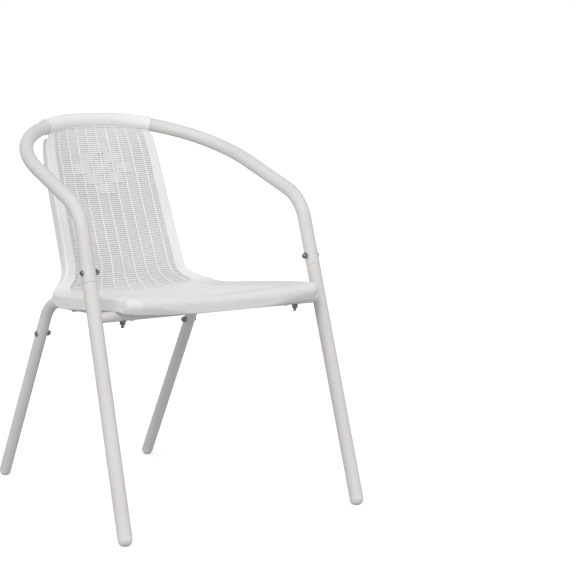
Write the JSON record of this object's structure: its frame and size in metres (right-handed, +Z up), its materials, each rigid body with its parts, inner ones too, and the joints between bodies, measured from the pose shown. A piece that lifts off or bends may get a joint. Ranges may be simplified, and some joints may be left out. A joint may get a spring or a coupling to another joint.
{
  "type": "stacking armchair",
  "caption": "Stacking armchair of bent steel tube: one arm hoop, splayed legs and a one-piece moulded seat and back in an imitation wicker weave.",
  "frame": {"origin": "on the floor, under the centre of the chair's bounding box", "axes": "+Z up; -Y is the way the sitter faces; +X is the sitter's left, to the right of someone looking at the chair from the front"},
  "size_m": [0.546, 0.591, 0.7112],
  "materials": {
    "powder_coat": "smooth satin off-white powder coat",
    "moulded_plastic": "white moulded wicker texture, satin",
    "foot_plastic": "smooth white plastic",
    "zinc_steel": "zinc-plated, slightly dull"
  },
  "bodies": {
    "root": {"arm_hoop": "powder_coat", "front_leg_left": "powder_coat", "front_leg_right": "powder_coat", "front_cross_rail": "powder_coat", "seat_rail_left": "powder_coat", "seat_rail_right": "powder_coat", "rear_cross_brace": "powder_coat", "rear_leg_left": "powder_coat", "rear_leg_right": "powder_coat", "seat_and_back_shell": "moulded_plastic", "front_foot_cap_left": "foot_plastic", "front_foot_cap_right": "foot_plastic", "rear_foot_cap_left": "foot_plastic", "rear_foot_cap_right": "foot_plastic", "front_joint_bolt_left": "zinc_steel", "front_joint_bolt_right": "zinc_steel", "rear_joint_bolt_left": "zinc_steel", "rear_joint_bolt_right": "zinc_steel", "front_cap_nut_left": "zinc_steel", "front_cap_nut_right": "zinc_steel", "rear_cap_nut_left": "zinc_steel", "rear_cap_nut_right": "zinc_steel", "seat_bolt_left": "zinc_steel", "seat_bolt_right": "zinc_steel", "seat_washer_left": "zinc_steel", "seat_washer_right": "zinc_steel", "seat_nut_left": "zinc_steel", "seat_nut_right": "zinc_steel"}
  },
  "joints": []
}
